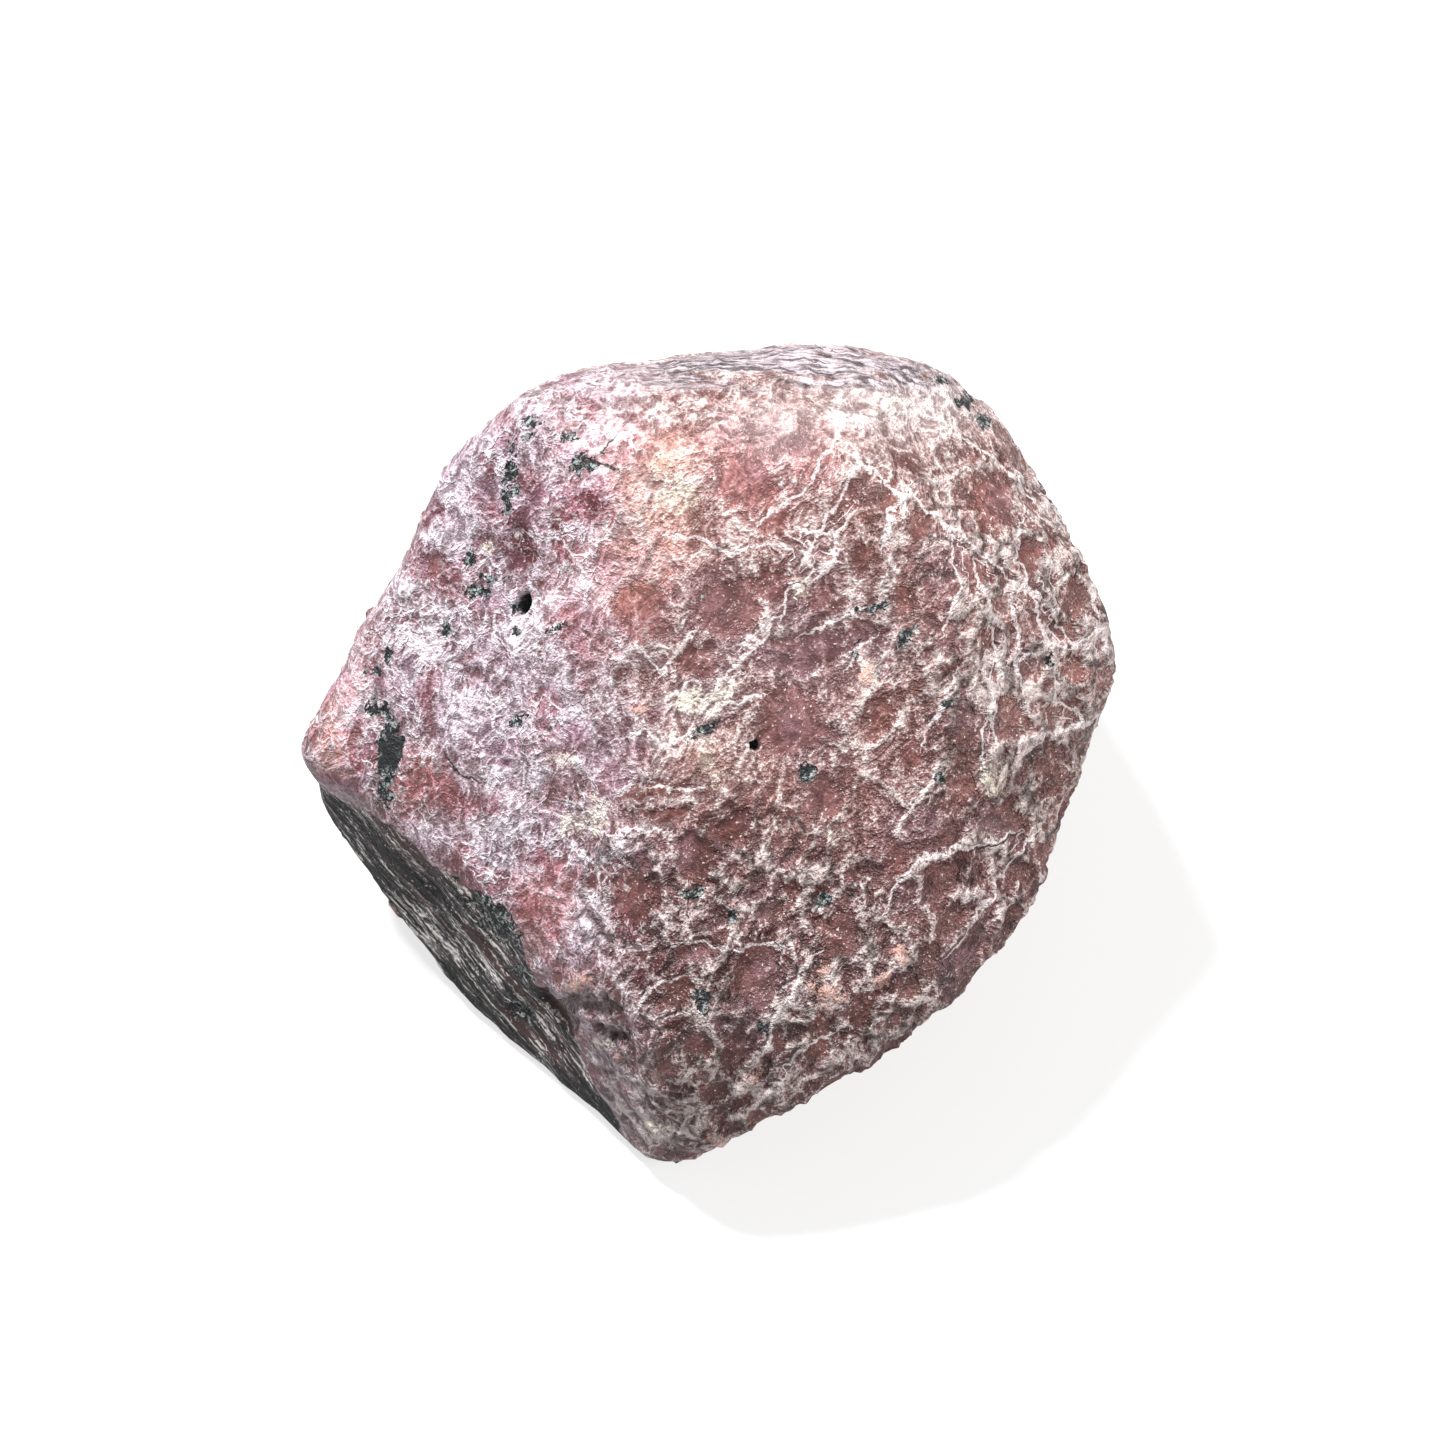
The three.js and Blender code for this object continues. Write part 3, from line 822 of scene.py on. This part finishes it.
# The dark side: black, combed with grey and white streaks, brown along its edge.
streak = shear.noise(0.7, 3, 14.0, roughness=0.9)
fibres = shear.curls(0.8, 2, 44.0, 0.9, 0.3)
broad_streak = shear.noise(2.6, 1, 33.0)
streaks = (streak - 0.5) * 4.2 + fibres * 0.9 + (grit - 0.5) * 1.4 + (broad_streak - 0.5) * 2.4
streaks = streaks + 0.62 + stored(tree, "pale_streaks") * 0.5
dark_colour = blend("sheared black", "sheared grey", streaks.rise(-0.1, 0.8))
dark_colour = blend(dark_colour, "sheared rose", shear.noise(2.2, 1, 23.0).rise(0.54, 0.66) * 0.3)
dark_colour = blend(dark_colour, "white streak", streaks.rise(0.6, 1.25))
dark_colour = blend(dark_colour, "edge brown", stored(tree, "brown_edge") * 0.7)
# Painted highlights in fine specks on the sheared side too.
dark_colour = blend(dark_colour, "sheared spark", glint_specks * 0.8)
colour = blend(colour, dark_colour, dark)

# The layered strip: thin sheets, seen edge on.
sheet = layers.noise(0.4, 2, 27.0, roughness=0.8)
strip_colour = blend("strip shade", "strip pale", sheet.rise(0.38, 0.66))
strip_shows = layers.noise(1.6, 2, 29.0, roughness=0.7).rise(0.32, 0.52) * 0.9
colour = blend(colour, strip_colour, strip * strip_shows)

# The grains, mica with painted highlights on its sheets, the painted shade under the ledges and in the holes,
# and the dark cracks.
cream_shows = (white * 0.7 + 0.2) * (curdle.rise(0.36, 0.56) * 0.6 + 0.4)
colour = blend(colour, "cream grain", parts["cream"] * cream_shows)
colour = blend(colour, "salmon grain", parts["grain"] * (0.9 - white * 0.5 - pocket * 0.4))
# Painted highlights on the mica: pale flecks where its sheets catch the light.
mica_glints = drawn_out.noise(0.36, 3, 53.0, roughness=0.8)
mica_glints_show = mica_glints.rise(0.5, 0.62) * (0.7 - stored(tree, "black_mica") * 1.4).most(0.02)
colour = blend(colour, "mica black", parts["mica"])
colour = blend(colour, "mica glints", parts["mica"] * mica_glints_show)
# Painted shade under the ledges.
colour = blend(colour, "ledge shade", parts["undercut"] * (0.85 - white * 0.3))
colour = blend(colour, "crack brown", parts["crack"])
# Painted shade inside the holes.
colour = blend(colour, "hole black", parts["hole"])
tree.links.new(colour.socket, surface.inputs["Base Color"])

# Its gloss, which is duller where it is white or sheared, and the grain that is too fine to be raised.
rough = 0.4 + white * 0.15 + dark * 0.2 + parts["mica"] * 0.2
tree.links.new(rough.socket, surface.inputs["Roughness"])
surface.inputs["Specular IOR Level"].default_value = GLOSS
surface.inputs["IOR"].default_value = RUBY_IOR

bump = tree.nodes.new("ShaderNodeBump")
bump.inputs["Distance"].default_value = MM
rough_height = curdle * 0.12 + grit * 0.11 + curls * (0.07 - lilac_frost * 0.03) + squiggles * 0.09
rough_height = rough_height + (hairs * 0.05 + threads * 0.06) * lilac_frost
rough_height = rough_height * (strength + 0.7) * (1.15 - parts["bare"] * 0.55) + parts["dome"] * 0.2
rough_height = rough_height.mix((streak - 0.5) * 0.3 + fibres * 0.12 + grit * 0.1, dark)
tree.links.new(rough_height.socket, bump.inputs["Height"])
tree.links.new(bump.outputs["Normal"], surface.inputs["Normal"])
raised.materials.clear()
raised.materials.append(stone)

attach(ruby, "root")
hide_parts("ruby_crystal")


# The studio. A plain pale floor that glows a little to the camera, so that it stays pale around the stone,
# a small key light from the upper left, a broad, slightly warm one from the right, and an even pale glow.
FLOOR_HALF = 1.5
FLOOR_GREY = 0.35
FLOOR_GLOW = 0.7
AROUND_GLOW = 0.44
LIGHT_DISTANCE = 0.6

floor_mesh = bpy.data.meshes.new("floor")
corners = [(-1, -1), (1, -1), (1, 1), (-1, 1)]
floor_mesh.from_pydata([(FLOOR_HALF * x, FLOOR_HALF * y, 0) for x, y in corners], [], [(0, 1, 2, 3)])
floor = bpy.data.objects.new("floor", floor_mesh)
bpy.context.scene.collection.objects.link(floor)
paper = bpy.data.materials.new("pale floor")
paper.use_nodes = True
paper_shader = paper.node_tree.nodes["Principled BSDF"]
paper_shader.inputs["Base Color"].default_value = (FLOOR_GREY, FLOOR_GREY, FLOOR_GREY, 1)
paper_shader.inputs["Roughness"].default_value = 0.9
paper_shader.inputs["Emission Color"].default_value = (1, 1, 1, 1)
seen = paper.node_tree.nodes.new("ShaderNodeLightPath")
glow = paper.node_tree.nodes.new("ShaderNodeMath")
glow.operation = "MULTIPLY"
glow.inputs[1].default_value = FLOOR_GLOW
paper.node_tree.links.new(seen.outputs["Is Camera Ray"], glow.inputs[0])
paper.node_tree.links.new(glow.outputs[0], paper_shader.inputs["Emission Strength"])
floor_mesh.materials.append(paper)


def disk_light(name, direction, size, power, colour=(1, 1, 1)):
    """A round soft light that faces the stone from a direction."""
    direction = Vector(direction).normalized()
    light = bpy.data.objects.new(name, bpy.data.lights.new(name, "AREA"))
    light.data.shape = "DISK"
    light.data.size = size
    light.data.energy = power
    light.data.color = colour
    light.location = CRYSTAL_MIDDLE + LIGHT_DISTANCE * direction
    light.rotation_euler = direction.to_track_quat("Z", "Y").to_euler()
    bpy.context.scene.collection.objects.link(light)


disk_light("key light", (-0.35, 0.29, 0.89), size=0.09, power=5.8)
disk_light("fill light", (0.9, -0.16, 0.4), size=0.3, power=2.1, colour=(1, 0.97, 0.94))

world = bpy.data.worlds.new("studio")
world.use_nodes = True
world.node_tree.nodes["Background"].inputs["Color"].default_value = (1, 1, 1, 1)
world.node_tree.nodes["Background"].inputs["Strength"].default_value = AROUND_GLOW
bpy.context.scene.world = world
bpy.context.scene.view_settings.view_transform = "Standard"
